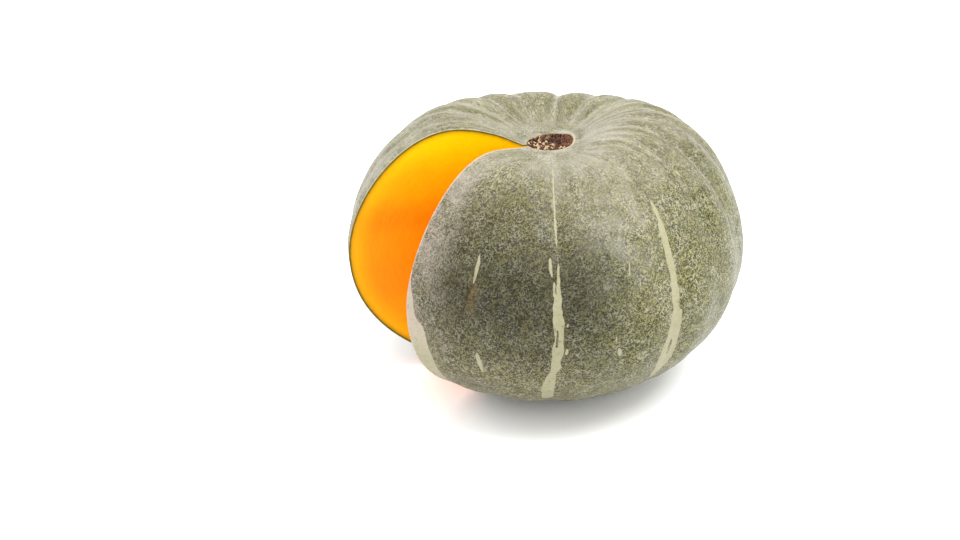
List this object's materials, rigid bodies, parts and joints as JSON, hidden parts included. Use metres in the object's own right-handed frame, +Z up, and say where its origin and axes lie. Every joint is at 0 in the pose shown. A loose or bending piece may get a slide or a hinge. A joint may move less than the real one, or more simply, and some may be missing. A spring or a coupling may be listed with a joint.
{
  "type": "kabocha squash",
  "caption": "Squat ribbed winter squash with grey-green rind, corky stem scar and one wedge cut out to show orange flesh and seed pulp",
  "frame": {"origin": "on the surface the squash rests on, under the middle of its bounding box, which is within 1 mm of the stem axis", "axes": "+Z up through the stem scar, -X out through the middle of the cut-out wedge, +Y to the cut face that the picture shows"},
  "size_m": [0.1948, 0.2012, 0.131],
  "materials": {
    "rind": "satin"
  },
  "bodies": {
    "root": {"squash": "rind"}
  },
  "joints": []
}
